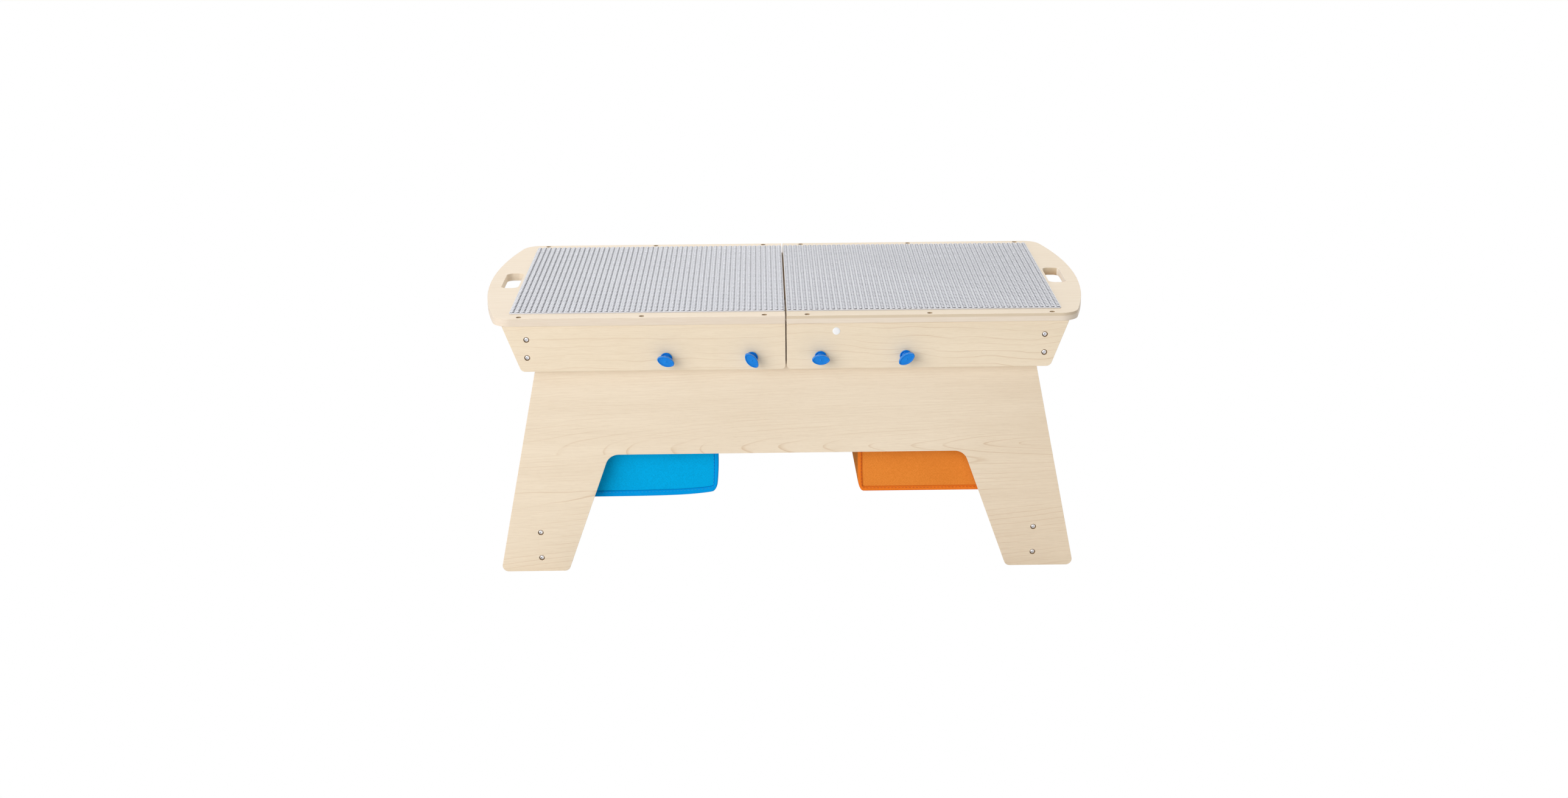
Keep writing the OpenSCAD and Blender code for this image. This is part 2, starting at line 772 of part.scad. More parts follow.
front_leg_panel();
back_leg_panel();
left_cross_rail();
right_cross_rail();
left_stretcher();
right_stretcher();
left_front_runner();
left_back_runner();
right_front_runner();
right_back_runner();
foot_screws();
rail_screws();
runner_screws();
left_board();
left_stud_plate();
left_front_apron();
left_back_apron();
left_end_panel();
left_top_screws();
left_apron_screws();
left_clamp_bolts();
left_washer_plates();
right_board();
right_stud_plate();
right_front_apron();
right_back_apron();
right_end_panel();
right_top_screws();
right_apron_screws();
right_clamp_bolts();
right_washer_plates();
sticker();
left_front_outer_knob();
left_front_inner_knob();
right_front_inner_knob();
right_front_outer_knob();
left_back_outer_knob();
left_back_inner_knob();
right_back_inner_knob();
right_back_outer_knob();
left_bin_bag();
left_bin_frame();
right_bin_bag();
right_bin_frame();
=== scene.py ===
"""Looks of a children's play table with two sliding studded tops over two hanging cloth bins.

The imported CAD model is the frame. Hard pieces are copies of the CAD meshes with rounded edges and
procedural finishes. The studs, wing knobs, screws and cloth bags are meshes built here.
Lengths are in metres, in the row frame: +X to the right, +Y to the back, +Z up.
"""

import json
import math

import bmesh
import bpy
import numpy as np
from mathutils import Matrix, Vector

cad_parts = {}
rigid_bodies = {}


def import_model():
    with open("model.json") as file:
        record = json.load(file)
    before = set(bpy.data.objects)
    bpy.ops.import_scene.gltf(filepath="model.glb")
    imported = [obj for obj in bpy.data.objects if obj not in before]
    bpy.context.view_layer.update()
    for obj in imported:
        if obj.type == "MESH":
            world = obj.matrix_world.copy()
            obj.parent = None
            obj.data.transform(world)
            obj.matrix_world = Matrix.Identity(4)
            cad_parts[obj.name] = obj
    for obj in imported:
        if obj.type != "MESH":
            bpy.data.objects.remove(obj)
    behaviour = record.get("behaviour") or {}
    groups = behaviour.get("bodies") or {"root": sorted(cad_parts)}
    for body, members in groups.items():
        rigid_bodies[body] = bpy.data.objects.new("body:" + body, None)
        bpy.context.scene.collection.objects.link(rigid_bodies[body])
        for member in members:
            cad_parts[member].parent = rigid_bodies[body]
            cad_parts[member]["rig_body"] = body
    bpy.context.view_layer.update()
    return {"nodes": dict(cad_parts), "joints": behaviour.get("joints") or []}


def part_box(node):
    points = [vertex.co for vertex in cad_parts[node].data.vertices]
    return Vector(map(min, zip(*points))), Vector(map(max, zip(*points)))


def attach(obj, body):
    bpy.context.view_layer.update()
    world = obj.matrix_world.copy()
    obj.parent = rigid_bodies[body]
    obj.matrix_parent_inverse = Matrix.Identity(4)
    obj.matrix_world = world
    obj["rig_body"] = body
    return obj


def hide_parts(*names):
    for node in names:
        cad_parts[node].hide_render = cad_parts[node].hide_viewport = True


MM = 0.001
MERGE = 0.01 * MM  # vertices of a CAD mesh that lie closer than this are one
SIDES = ("left", "right")
FACES = ("front", "back")

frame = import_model()
nodes = frame["nodes"]


# ---- finishes ----


def srgb(red, green, blue):
    """A screen colour of 0 to 255 as the linear colour that shaders take."""

    def linear(c):
        c /= 255
        return c / 12.92 if c <= 0.04045 else ((c + 0.055) / 1.055) ** 2.4

    return (linear(red), linear(green), linear(blue), 1)


class Finish:
    """A material whose node tree is built with short calls."""

    def __init__(self, name, **uniform):
        self.material = bpy.data.materials.new(name)
        self.material.use_nodes = True
        self.tree = self.material.node_tree
        self.shader = self.tree.nodes["Principled BSDF"]
        for key, value in uniform.items():
            self.put(key.replace("_", " "), value)

    def put(self, socket, value):
        """Sets one of the shader's own inputs, to a value or from another node's output."""
        self._fill(self.shader.inputs[socket], value)

    def _fill(self, socket, value):
        if isinstance(value, bpy.types.NodeSocket):
            self.tree.links.new(value, socket)
        else:
            socket.default_value = value

    def node(self, kind, inputs, **settings):
        made = self.tree.nodes.new("ShaderNode" + kind)
        for key, value in settings.items():
            setattr(made, key, value)
        for key, value in inputs.items():
            self._fill(made.inputs[key], value)
        return made

    def math(self, operation, *values):
        made = self.node("Math", dict(enumerate(values)), operation=operation)
        return made.outputs[0]

    def place(self):
        """The piece's own coordinates, as X, Y and Z."""
        coords = self.node("TexCoord", {}).outputs["Object"]
        return self.node("SeparateXYZ", {0: coords}).outputs

    def vector(self, x, y, z):
        return self.node("CombineXYZ", {0: x, 1: y, 2: z}).outputs[0]

    def scaled(self, value, factor):
        return self.math("MULTIPLY", value, factor)

    def noise(self, vector, detail=2.0, roughness=0.5, scale=1.0):
        made = self.node(
            "TexNoise", {"Vector": vector, "Scale": scale, "Detail": detail, "Roughness": roughness}
        )
        return made.outputs["Fac"]

    def levels(self, value, low, high, to_low=0.0, to_high=1.0):
        inputs = {0: value, 1: low, 2: high, 3: to_low, 4: to_high}
        return self.node("MapRange", inputs).outputs[0]

    def mix(self, factor, first, second):
        inputs = {0: factor, 6: first, 7: second}
        return self.node("Mix", inputs, data_type="RGBA").outputs[2]

    def bump(self, height, distance, strength=1.0):
        inputs = {"Height": height, "Distance": distance, "Strength": strength}
        self.put("Normal", self.node("Bump", inputs).outputs[0])


def maple(name, light, dark, ring, rings, along="X", across="Z", tilt=0.0, painted_shade_ramp=None):
    """Lacquered maple, with the growth lines of a log whose axis runs along the board.

    rings holds the lines' spacing, the axis's place across the grain, the start and the slope of
    the log's cone, its squeeze (below the axis, above it), the wobble, and the lines' strength
    (low, high). tilt turns the grain in the legs. painted_shade_ramp gives two places along the
    grain and what the wood's tone gains at each: painted shade that deepens towards the board's
    right end, where less light falls."""
    spacing, axis, start, slope, squeeze, wobble, strength = rings
    f = Finish(name, Roughness=0.45, Specular_IOR_Level=0.3)
    place = f.place()
    u, v, w = place[along], place[across], place["Y" if across != "Y" else "Z"]

    def streaks(lengthwise, crosswise, detail, roughness=0.5):
        """Noise that is drawn out along the grain."""
        at = f.vector(f.scaled(u, lengthwise), f.scaled(v, crosswise), f.scaled(w, crosswise))
        return f.noise(at, detail, roughness)

    fine = streaks(22, 700, 3, 0.6)
    short = streaks(90, 1100, 2, 0.6)
    band = streaks(3.0, 34, 3)
    waver = streaks(6, 11, 3, 0.45)
    shake = f.scaled(f.math("SUBTRACT", waver, 0.5), wobble)
    leg_low, leg_high = 0.1, 0.2
    lowered = f.levels(v, leg_low, leg_high, tilt, 0.0)
    level = f.math("SUBTRACT", v, f.math("MULTIPLY", lowered, u))
    press = f.levels(level, axis - 40 * MM, axis, squeeze[0], squeeze[1])
    height = f.math("ADD", f.math("MULTIPLY", f.math("SUBTRACT", level, axis), press), shake)
    cone = f.math("ADD", f.math("ADD", f.scaled(u, slope), start), shake)
    cone = f.math("MULTIPLY", cone, f.levels(v, axis - 80 * MM, axis - 8 * MM))
    square = f.math("ADD", f.math("POWER", height, 2.0), f.math("POWER", cone, 2.0))
    years = f.math("DIVIDE", f.math("SQRT", square), spacing)
    uneven = f.noise(f.vector(f.scaled(years, 0.5), 0.0, 0.0), 2, 0.6)
    turns = f.math("FRACT", f.math("ADD", years, f.scaled(uneven, 2.2)))
    late = f.math("POWER", f.levels(turns, 0.4, 0.93), 3.0)
    before_end = f.levels(turns, 0.94, 0.975, 1.0, 0.0)
    edge = f.math("MULTIPLY", f.levels(turns, 0.82, 0.93), before_end)
    line = f.math("ADD", f.scaled(late, 0.14), f.scaled(edge, 0.86))
    line = f.math("MULTIPLY", line, before_end)
    patchy = streaks(8, 50, 2)
    line = f.math("MULTIPLY", line, f.levels(patchy, 0.36, 0.62, 0.15, 1.0))
    fine_tone, band_tone = f.levels(fine, 0.3, 0.7), f.levels(band, 0.3, 0.7)
    tone = f.math("ADD", f.scaled(fine_tone, 0.4), f.scaled(band_tone, 0.3))
    tone = f.math("ADD", tone, f.levels(short, 0.48, 0.8, 0.0, 0.45))
    # Painted shade: the tone deepens towards the right, where the light falls off.
    if painted_shade_ramp:
        tone = f.math("ADD", tone, f.levels(u, *painted_shade_ramp))
    base = f.mix(tone, light, dark)
    plainer = f.levels(v, axis + 10 * MM, axis + 75 * MM, strength[0], strength[1])
    f.put("Base Color", f.mix(f.math("MULTIPLY", line, plainer), base, ring))
    f.put("Roughness", f.levels(fine, 0.3, 0.7, 0.4, 0.52))
    f.bump(fine, 0.04 * MM, 0.3)
    return f.material


def board_edge(name, light, dark, band=None):
    """The veneered edge of a board. band gives another tone and the heights between which it takes
    over upwards."""
    f = Finish(name, Roughness=0.5, Specular_IOR_Level=0.3)
    place = f.place()
    grain = f.noise(
        f.vector(f.scaled(place["X"], 30), f.scaled(place["Y"], 30), f.scaled(place["Z"], 900)), 3
    )
    colour = f.mix(f.levels(grain, 0.3, 0.7), light, dark)
    if band:
        tone, low, high = band
        colour = f.mix(f.levels(place["Z"], low, high), colour, tone)
    f.put("Base Color", colour)
    f.bump(grain, 0.04 * MM, 0.4)
    return f.material


def mottled(name, first, second, roughness, scale, bump=0.0, **uniform):
    """A finish with two close colours, and a roughness and a bump that vary with them."""
    f = Finish(name, **uniform)
    coords = f.node("TexCoord", {}).outputs["Object"]
    grain = f.noise(coords, 3, 0.6, scale)
    f.put("Base Color", f.mix(f.levels(grain, 0.3, 0.7), first, second))
    f.put("Roughness", f.levels(grain, 0.25, 0.75, roughness[0], roughness[1]))
    if bump:
        f.bump(grain, bump)
    return f.material


THREADS = 2600.0  # radians per metre of the weave's waves


def cloth(name, light, dark, shade):
    """Matt woven cloth with a fine grain and broad faint patches of a third colour."""
    f = Finish(name, Roughness=0.9, Specular_IOR_Level=0.06)
    coords = f.node("TexCoord", {}).outputs["Object"]
    grain = f.noise(coords, 2, 0.65, 620.0)
    cloudy = f.noise(coords, 2, 0.5, 14.0)
    place = f.place()
    warp = f.math("SINE", f.scaled(f.math("ADD", place["X"], place["Y"]), THREADS))
    weft = f.math("SINE", f.scaled(place["Z"], THREADS))
    weave = f.math("ADD", f.scaled(f.math("MULTIPLY", warp, weft), 0.3), grain)
    colour = f.mix(f.levels(weave, 0.15, 0.85), light, dark)
    f.put("Base Color", f.mix(f.levels(cloudy, 0.45, 0.75, 0.0, 0.25), colour, shade))
    f.bump(weave, 0.2 * MM, 0.5)
    return f.material


FRONT_LIGHT, FRONT_DARK, RING = srgb(243, 227, 203), srgb(229, 210, 184), srgb(202, 166, 126)
# The legs carry painted shade at their right ends, for the light falling off towards the right.
leg_maple = maple(
    "maple_legs", FRONT_LIGHT, FRONT_DARK, RING,
    (7.5 * MM, 0.193, 0.066, -0.13, (0.9, 2.0), 11 * MM, (0.5, 0.25)), tilt=0.12,
    painted_shade_ramp=(0.22, 0.38, 0.0, 0.32),
)
APRON_LIGHT, APRON_DARK = srgb(244, 228, 203), srgb(231, 212, 184)
left_apron_maple = maple(
    "maple_left_apron", APRON_LIGHT, APRON_DARK, RING,
    (11 * MM, 0.24, 0.03, 0.02, (1.0, 1.0), 26 * MM, (0.32, 0.32)),
)
right_apron_maple = maple(
    "maple_right_apron", APRON_LIGHT, APRON_DARK, RING,
    (10 * MM, 0.25, 0.004, 0.05, (1.0, 1.0), 34 * MM, (0.48, 0.48)),
)
TOP_RINGS = (12 * MM, 0.5, 0.0, 0.0, (1.0, 1.0), 20 * MM, (0.3, 0.3))
left_top_maple = maple(
    "maple_left_top", srgb(235, 221, 201), srgb(226, 209, 187), srgb(208, 184, 152), TOP_RINGS,
    across="Y",
)
right_top_maple = maple(
    "maple_right_top", srgb(230, 216, 195), srgb(221, 204, 181), srgb(203, 179, 147), TOP_RINGS,
    across="Y",
)
inner_maple = maple(
    "maple_rails", FRONT_LIGHT, FRONT_DARK, RING,
    (9 * MM, 0.2, 0.0, 0.0, (1.0, 1.0), 10 * MM, (0.35, 0.35)), along="Y",
)
plain_edge = board_edge("maple_edge", srgb(234, 219, 201), srgb(228, 211, 190))
banded_edge = board_edge(
    "maple_edge_banded", srgb(238, 224, 206), srgb(232, 216, 196),
    (srgb(220, 202, 176), 394.45 * MM, 394.75 * MM),
)
left_slot_wood = board_edge("maple_left_slot", srgb(242, 227, 205), srgb(235, 217, 194))
# Painted shade: the right slot's short walls are a deep brown down in the recess and lighten near
# the top, where light reaches in.
right_slot_painted_shade = board_edge(
    "maple_right_slot_painted_shade", srgb(202, 176, 142), srgb(196, 170, 136),
    (srgb(220, 202, 174), 389 * MM, 397 * MM),
)
# Painted light: the right slot's long walls are near white, as if lit strongly from the left.
painted_light_slot_wood = board_edge("maple_slot_painted_light", srgb(254, 247, 236), srgb(250, 242, 229))
bored_wood = mottled("bored_wood", srgb(196, 168, 132), srgb(172, 142, 106), (0.8, 0.95), 900.0)
knob_plastic = mottled(
    "knob_plastic", srgb(0, 131, 224), srgb(0, 125, 218), (0.22, 0.3), 160.0,
    bump=0.02 * MM, Specular_IOR_Level=0.26,
)
chrome = mottled(
    "screw_chrome", srgb(250, 250, 252), srgb(238, 238, 242), (0.14, 0.26), 500.0, Metallic=1.0
)
socket_dark = mottled(
    "screw_socket", srgb(206, 206, 208), srgb(184, 184, 188), (0.25, 0.45), 500.0, Metallic=1.0
)
blackened = mottled(
    "blackened_steel", srgb(92, 74, 56), srgb(62, 50, 40), (0.4, 0.6), 600.0, Metallic=0.6
)
zinc = mottled(
    "zinc_plate", srgb(200, 201, 204), srgb(178, 180, 184), (0.3, 0.48), 260.0, Metallic=1.0
)
mill_aluminium = mottled(
    "mill_aluminium", srgb(214, 215, 218), srgb(198, 199, 203), (0.32, 0.45), 180.0, Metallic=1.0
)
powder_coat = mottled(
    "powder_coat", srgb(56, 57, 60), srgb(46, 47, 50), (0.5, 0.62), 1400.0, bump=0.05 * MM
)
vinyl = mottled("sticker_vinyl", srgb(250, 250, 250), srgb(244, 244, 245), (0.25, 0.35), 300.0)


# ---- mesh building ----


class Shape:
    """Gathers rings, caps and their finishes, and builds one mesh piece from them."""

    def __init__(self):
        self.vertices, self.faces, self.finish = [], [], []

    def loft(self, rings, matrix=None, finishes=None):
        """Closed rings of equal counts, joined in order, with a cap on the first and the last.
        finishes gives the finish's number for each ring, and is 0 throughout if left out."""
        count, start = len(rings[0]), len(self.vertices)
        looks = finishes or [0] * len(rings)
        points = [Vector(p) for ring in rings for p in ring]
        if matrix is not None:
            points = [matrix @ p for p in points]
        self.vertices.extend(points)
        self.faces.append([start + i for i in range(count)][::-1])
        self.finish.append(looks[0])
        for r in range(len(rings) - 1):
            low, high = start + r * count, start + (r + 1) * count
            for i in range(count):
                j = (i + 1) % count
                self.faces.append([low + i, low + j, high + j, high + i])
                self.finish.append(looks[r])
        last = start + (len(rings) - 1) * count
        self.faces.append([last + i for i in range(count)])
        self.finish.append(looks[-1])

    def piece(self, name, body, finishes, sharp, replaces=(), slot=None):
        mesh = bpy.data.meshes.new(name)
        mesh.from_pydata(self.vertices, [], self.faces)
        return piece_of(mesh, name, body, finishes, sharp, replaces, self.finish)


def piece_of(mesh, name, body, finishes, sharp, replaces=(), indices=None):
    """Makes a shown piece of a mesh: finishes, smooth shading but for edges of more than sharp
    degrees, its body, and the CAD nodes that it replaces."""
    for material in finishes:
        mesh.materials.append(material)
    if indices is not None:
        mesh.polygons.foreach_set("material_index", indices)
    mesh.shade_smooth()
    mesh.set_sharp_from_angle(angle=math.radians(sharp))
    mesh.update()
    made = bpy.data.objects.new(name, mesh)
    bpy.context.scene.collection.objects.link(made)
    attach(made, body)
    if replaces:
        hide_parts(*replaces)
    return made


def islands(node):
    """The separate solids of a CAD node, as (lowest corner, highest corner) pairs."""
    bm = bmesh.new()
    bm.from_mesh(nodes[node].data)
    bmesh.ops.remove_doubles(bm, verts=bm.verts, dist=MERGE)
    seen, boxes = set(), []
    for first in bm.verts:
        if first in seen:
            continue
        stack, group = [first], []
        seen.add(first)
        while stack:
            vertex = stack.pop()
            group.append(vertex.co.copy())
            for edge in vertex.link_edges:
                other = edge.other_vert(vertex)
                if other not in seen:
                    seen.add(other)
                    stack.append(other)
        points = np.array(group)
        boxes.append((Vector(points.min(0)), Vector(points.max(0))))
    bm.free()
    return boxes


def body_of_node(node):
    return nodes[node]["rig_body"]


# The wells and bores of the screws, whose edges aren't rounded: the number of the axis along which
# each runs, the middle of its screw, and its radius.
WELL_REACH = 60 * MM  # how far along Y a well lies from the middle of its screw, at most
wells = []
for screw_node, axis, radius in (
    [("foot_screws", 1, 4.4 * MM), ("rail_screws", 1, 4.4 * MM), ("runner_screws", 1, 3.3 * MM)]
    + [(side + "_apron_screws", 1, 4.4 * MM) for side in SIDES]
    + [(side + "_top_screws", 2, 4.1 * MM) for side in SIDES]
    + [(side + "_clamp_bolts", 1, 3.5 * MM) for side in SIDES]
):
    for low, high in islands(screw_node):
        wells.append((axis, (low + high) / 2, radius))


def in_well(point, slack=0.0):
    """Whether a point lies in one of the screws' wells or bores."""
    for axis, middle, radius in wells:
        offset = point - middle
        if axis == 1 and abs(offset.y) > WELL_REACH:
            continue
        offset[axis] = 0.0
        if offset.length < radius + slack:
            return True
    return False


def has_wells(node):
    """Whether a screw's axis runs through a CAD node's box."""
    low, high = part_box(node)
    for axis, middle, _ in wells:
        across = [i for i in range(3) if i != axis]
        if all(low[i] - 5 * MM < middle[i] < high[i] + 5 * MM for i in across):
            return True
    return False


ROUNDED_FROM = math.radians(35)  # an edge's angle, from which it is rounded
BORE_FACE = 40 * MM * MM  # no face in a bore is larger


def dressed(node, finishes, pick=None, rounding=0.6 * MM, segments=2):
    """A copy of a CAD node with rounded edges. pick gives the number of a face's finish from its
    normal and centre. Where there are more than two finishes, the last is for the bores."""
    bm = bmesh.new()
    bm.from_mesh(nodes[node].data)
    bmesh.ops.remove_doubles(bm, verts=bm.verts, dist=MERGE)
    bmesh.ops.dissolve_limit(
        bm, angle_limit=math.radians(0.5), verts=bm.verts[:], edges=bm.edges[:]
    )
    bored = has_wells(node)
    if rounding:
        chosen = []
        for edge in bm.edges:
            if len(edge.link_faces) != 2 or edge.calc_face_angle(0.0) < ROUNDED_FROM:
                continue
            if bored and all(in_well(v.co, 0.3 * MM) for v in edge.verts):
                continue
            chosen.append(edge)
        bmesh.ops.bevel(
            bm, geom=chosen, offset=rounding, segments=segments, profile=0.5,
            affect="EDGES", clamp_overlap=True,
        )
    bmesh.ops.recalc_face_normals(bm, faces=bm.faces[:])
    for face in bm.faces:
        centre = face.calc_center_median()
        if pick:
            face.material_index = pick(face.normal, centre)
        if bored and len(finishes) > 2:
            if face.calc_area() < BORE_FACE and in_well(centre, 0.1 * MM):
                face.material_index = len(finishes) - 1
    mesh = bpy.data.meshes.new(node + "_look")
    bm.to_mesh(mesh)
    bm.free()
    made = piece_of(mesh, node + "_look", body_of_node(node), finishes, 32.0, (node,))
    smooth = made.modifiers.new("even_shading", "WEIGHTED_NORMAL")
    smooth.keep_sharp = True
    return made


def panel_faces(normal, centre):
    """An upright panel's broad faces (0) and its edge (1)."""
    return 0 if abs(normal.y) > 0.7 else 1


def board_faces(normal, centre):
    """A board's broad faces (0), its edge (1), and its slot's short (2) and long walls (3)."""
    if abs(normal.z) > 0.7:
        return 0
    if not (0.402 < abs(centre.x) < 0.436 and abs(centre.y) < 0.05):
        return 1
    return 3 if abs(normal.x) > 0.8 else 2


# ---- wood ----

for face in FACES:
    looks = [leg_maple, plain_edge, bored_wood]
    dressed(face + "_leg_panel", looks, panel_faces, 0.8 * MM)
for side in SIDES:
    dressed(side + "_cross_rail", [inner_maple])
    dressed(side + "_stretcher", [inner_maple])
    dressed(side + "_end_panel", [inner_maple])
    if side == "left":
        looks = [left_top_maple, plain_edge, left_slot_wood, left_slot_wood, bored_wood]
    else:
        # The right slot's walls carry painted shade (short walls) and painted light (long walls).
        looks = [right_top_maple, banded_edge, right_slot_painted_shade, painted_light_slot_wood, bored_wood]
    dressed(side + "_board", looks, board_faces, 0.8 * MM)
    looks = [left_apron_maple if side == "left" else right_apron_maple, plain_edge, bored_wood]
    for face in FACES:
        dressed(f"{side}_{face}_apron", looks, panel_faces, 0.4 * MM)


# ---- metal ----

for side in SIDES:
    for face in FACES:
        dressed(f"{side}_{face}_runner", [mill_aluminium], rounding=0.25 * MM)
    dressed(side + "_clamp_bolts", [zinc], rounding=0)
    dressed(side + "_washer_plates", [zinc], rounding=0.3 * MM)
    dressed(side + "_bin_frame", [powder_coat], rounding=1.2 * MM, segments=3)
    dressed(side + "_top_screws", [blackened], rounding=0)
dressed("runner_screws", [zinc], rounding=0)
dressed("rail_screws", [zinc], rounding=0)


def circle(radius, height, count=24):
    angles = [2 * math.pi * i / count for i in range(count)]
    return [(radius * math.cos(a), radius * math.sin(a), height) for a in angles]


def hexagon(radius, height, count=24):
    """A ring of count points on a hexagon with that radius across its corners."""
    points = []
    for i in range(count):
        angle = 2 * math.pi * i / count
        local = (angle % (math.pi / 3)) - math.pi / 6
        r = radius * math.cos(math.pi / 6) / math.cos(local)
        points.append((r * math.cos(angle), r * math.sin(angle), height))
    return points


def outward_matrix(place, outward, turn=0.0):
    """Stands a shape drawn along +Z at a place, pointing along outward and turned about itself."""
    z = outward.normalized()
    x = Vector((1, 0, 0)) if z.y <= 0 else Vector((-1, 0, 0))
    y = z.cross(x)
    stand = Matrix((x, y, z)).transposed().to_4x4()
    return Matrix.Translation(place) @ stand @ Matrix.Rotation(turn, 4, "Z")


def pan_screws(node, slot):
    """Pan-head socket screws in the places of a CAD node's screws. The first ring is the tip."""
    shape = Shape()
    for number, (low, high) in enumerate(islands(node)):
        side = -1 if (low.y + high.y) < 0 else 1
        middle = (low + high) / 2
        place = Vector((middle.x, low.y if side < 0 else high.y, middle.z))
        head = (high.x - low.x) / 2
        length = high.y - low.y
        rings = [
            circle(1.2 * MM, -length), circle(2.1 * MM, -length + 2.5 * MM),
            circle(2.25 * MM, -5 * MM), circle(2.25 * MM, -4 * MM),
            circle(head - 0.15 * MM, -4 * MM), circle(head, -3.8 * MM), circle(head, -1.5 * MM),
            circle(head - 0.25 * MM, -0.75 * MM), circle(head - 0.8 * MM, -0.25 * MM),
            circle(head - 1.35 * MM, -0.02 * MM), hexagon(1.75 * MM, 0.0),
            hexagon(1.6 * MM, -0.2 * MM), hexagon(1.55 * MM, -1.8 * MM),
            circle(0.6 * MM, -2.2 * MM),
        ]
        looks = [0] * (len(rings) - 3) + [1, 1, 1]
        matrix = outward_matrix(place, Vector((0, side, 0)), 0.7 * number)
        shape.loft(rings, matrix=matrix, finishes=looks)
    shape.piece(node + "_look", body_of_node(node), [chrome, socket_dark], 50.0, (node,), slot)


pan_screws("foot_screws", "screw_chrome")
for side in SIDES:
    pan_screws(side + "_apron_screws", "screw_chrome")


# ---- studded plates ----


PITCH = 8 * MM
STUD_RISE = 1.7 * MM
MOULDED_GRAIN = 220.0  # scale of the plates' fine mottling


def cell(f, axis):
    """How far a point lies across its stud's 8 mm square along an axis, from 0 to 1."""
    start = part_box("left_stud_plate")[0]["XYZ".index(axis)]
    return f.math("FRACT", f.scaled(f.math("SUBTRACT", f.place()[axis], start), 1 / PITCH))


def sheet_with_painted_shadows(name, light, dark, low):
    """The left plate's sheet, with a painted shadow just right of each stud, fainter towards the
    seam.
    """
    f = Finish(name, Specular_IOR_Level=0.5)
    coords = f.node("TexCoord", {}).outputs["Object"]
    grain = f.noise(coords, 3, 0.6, MOULDED_GRAIN)
    across = cell(f, "X")
    aside = f.math("ABSOLUTE", f.math("SUBTRACT", cell(f, "Y"), 0.5))
    # Painted shadow: a dark patch on the sheet beside each stud, on the side away from the light.
    painted_shadow = f.math("MULTIPLY", f.levels(across, 0.76, 0.81), f.levels(across, 0.86, 0.95, 1.0, 0.0))
    painted_shadow = f.math("MULTIPLY", painted_shadow, f.levels(aside, 0.26, 0.38, 1.0, 0.0))
    painted_shadow = f.math("MULTIPLY", painted_shadow, f.levels(f.place()["X"], -0.4, 0.0, 1.0, 0.5))
    plain = f.mix(f.levels(grain, 0.3, 0.7), light, dark)
    f.put("Base Color", f.mix(painted_shadow, plain, low))
    f.put("Roughness", f.levels(grain, 0.25, 0.75, 0.3, 0.42))
    return f.material


def stud_plastic_painted_shade(name, light, dark, low, lit=1.0):
    """Moulded grey plastic with painted shade down the studs' walls, deepest at their feet, where
    little light gets. lit is the share of that painted shade on the left of each stud."""
    f = Finish(name, Specular_IOR_Level=0.6)
    coords = f.node("TexCoord", {}).outputs["Object"]
    grain = f.noise(coords, 3, 0.6, MOULDED_GRAIN)
    plain = f.mix(f.levels(grain, 0.3, 0.7), light, dark)
    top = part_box("left_stud_plate")[1].z
    # Painted shade: the walls' colour deepens towards the sheet.
    foot = f.levels(f.place()["Z"], top - 1.2 * MM, top - 0.2 * MM, 1.0, 0.0)
    # Less painted shade on the left of each stud, the side the light comes from.
    if lit < 1.0:
        foot = f.math("MULTIPLY", foot, f.levels(cell(f, "X"), 0.5, 0.72, lit, 1.0))
    f.put("Base Color", f.mix(foot, plain, low))
    f.put("Roughness", f.levels(grain, 0.25, 0.75, 0.2, 0.32))
    return f.material


sheet_looks = {
    # The left sheet's third colour is the painted shadow beside each stud.
    "left": sheet_with_painted_shadows(
        "left_sheet_painted_shadows", srgb(215, 216, 222), srgb(209, 210, 216), srgb(40, 42, 50)
    ),
    "right": mottled(
        "right_sheet_plastic", srgb(213, 214, 219), srgb(207, 208, 213), (0.3, 0.42),
        MOULDED_GRAIN, Specular_IOR_Level=0.5,
    ),
}
# The studs' third colours are painted shade down their walls. The left studs' is deeper and fainter
# on their lit side.
stud_looks = {
    "left": stud_plastic_painted_shade(
        "left_stud_painted_shade", srgb(219, 220, 226), srgb(212, 213, 219), srgb(14, 14, 18), 0.55
    ),
    "right": stud_plastic_painted_shade(
        "right_stud_painted_shade", srgb(213, 214, 220), srgb(206, 207, 213), srgb(62, 63, 70)
    ),
}


def sheet(side):
    """The plate's sheet, with rounded corners and a softened upper edge."""
    low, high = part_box(side + "_stud_plate")
    top, corner, soft = high.z - STUD_RISE, 3 * MM, 0.35 * MM

    def ring(inset, height):
        points = []
        for number, (sx, sy) in enumerate(((1, 1), (-1, 1), (-1, -1), (1, -1))):
            x = (high.x if sx > 0 else low.x) - sx * corner
            y = (high.y if sy > 0 else low.y) - sy * corner
            for i in range(7):
                angle = (number + i / 6) * math.pi / 2
                r = corner - inset
                points.append((x + r * math.cos(angle), y + r * math.sin(angle), height))
        return points

    shape = Shape()
    shape.loft([
        ring(0.2 * MM, low.z), ring(0.0, low.z + 0.2 * MM), ring(0.0, top - soft),
        ring(0.1 * MM, top - 0.1 * MM), ring(soft, top),
    ])
    node = side + "_stud_plate"
    shape.piece(side + "_sheet", side + "_top", [sheet_looks[side]], 50.0, (node,), "plate_plastic")


